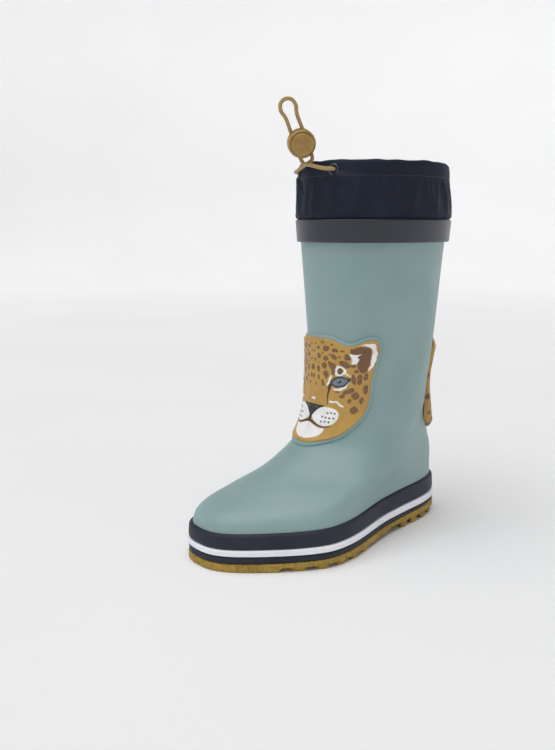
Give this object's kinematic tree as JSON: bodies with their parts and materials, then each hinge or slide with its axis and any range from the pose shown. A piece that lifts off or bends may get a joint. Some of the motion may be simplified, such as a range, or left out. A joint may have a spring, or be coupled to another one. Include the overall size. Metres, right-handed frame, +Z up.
{
  "type": "rain boot",
  "caption": "Child's rubber rain boot with a gathered cloth collar, cord lock, banded foxing, lugged sole, and a raised animal face and tail.",
  "frame": {"origin": "on the ground, under the middle of the boot's box with the cord lock and loop left out", "axes": "+Z up the shaft, -Y towards the toe, +X the outer side of this left boot"},
  "size_m": [0.1014, 0.2072, 0.2923],
  "materials": {
    "sage_rubber": "matte",
    "navy_rubber": "satin",
    "white_rubber": "matte",
    "ochre_rubber": "matte",
    "leopard_print": "matte",
    "navy_cloth": "plain weave",
    "cord": "braided",
    "mustard_plastic": "satin",
    "gunmetal": "satin",
    "spring_steel": "bright",
    "knit_lining": "knit",
    "fibre_board": "pressed fibre"
  },
  "bodies": {
    "boot": {"upper": "sage_rubber", "lining": "knit_lining", "toe_reinforcement": "fibre_board", "heel_counter": "fibre_board", "foxing_lower": "navy_rubber", "foxing_stripe": "white_rubber", "foxing_upper": "navy_rubber", "outsole": "ochre_rubber", "sole_filler": "fibre_board", "insole_board": "fibre_board", "footbed": "knit_lining", "top_band": "navy_rubber", "collar": "navy_cloth", "eyelet_left": "gunmetal", "eyelet_right": "gunmetal", "eyelet_washer_left": "gunmetal", "eyelet_washer_right": "gunmetal", "face_backing": "sage_rubber", "face_panel": "leopard_print", "tail": "leopard_print", "drawcord": "cord", "drawcord_loop": "cord"},
    "cord_lock": {"toggle_barrel": "mustard_plastic", "toggle_spring": "spring_steel"},
    "button": {"toggle_plunger": "mustard_plastic"}
  },
  "joints": [
    {"name": "lock_slide", "type": "slide", "parent": "boot", "child": "cord_lock", "axis": [-0.0253, -0.446, 0.8947], "range_m": [0, 0.009]},
    {"name": "button_press", "type": "slide", "parent": "cord_lock", "child": "button", "axis": [0.8123, -0.5308, -0.2416], "range_m": [-0.002, 0], "stiffness_N_per_m": 250, "springref_m": 0.004, "deforming": ["toggle_spring"]}
  ]
}
